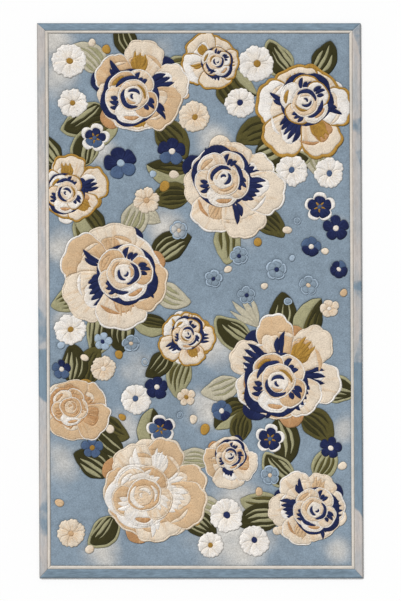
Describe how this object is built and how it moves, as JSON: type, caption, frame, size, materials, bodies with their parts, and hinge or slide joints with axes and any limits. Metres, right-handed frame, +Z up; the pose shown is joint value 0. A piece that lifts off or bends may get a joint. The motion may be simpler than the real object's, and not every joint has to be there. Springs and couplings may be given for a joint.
{
  "type": "modern tufted floor rug",
  "caption": "Rectangular hand-tufted wool rug lying flat, its flower field carved and slightly raised, inside a thin raised line and a sloped outer band.",
  "frame": {"origin": "on the floor, at the middle of the underside's bounding rectangle", "axes": "+X across the rug's width, to the right of the picture; +Y along its length, to the top of the picture; +Z up, out of the pile"},
  "size_m": [1.411, 2.4, 0.0175],
  "materials": {
    "sky_pile": "dyed wool cut pile, matt, the plain ground",
    "white_pile": "undyed wool cut pile, matt",
    "cream_pile": "dyed wool cut pile, matt",
    "peach_pile": "dyed wool cut pile, matt",
    "sand_pile": "dyed wool cut pile, matt",
    "gold_pile": "dyed wool cut pile, matt",
    "navy_pile": "dyed wool cut pile, matt",
    "slate_pile": "dyed wool cut pile, matt",
    "olive_pile": "dyed wool cut pile, matt",
    "moss_pile": "dyed wool cut pile, matt",
    "sage_pile": "dyed wool cut pile, matt",
    "mist_pile": "dyed wool cut pile, matt",
    "fern_pile": "dyed wool cut pile, matt",
    "border_pile": "dyed wool cut pile, matt, grey-cream with blue blotches",
    "line_pile": "undyed wool cut pile, matt, the raised line inside the border",
    "backing": "plain-woven cotton cloth, glued on, matt"
  },
  "bodies": {
    "root": {"rug": "sky_pile"}
  },
  "joints": []
}
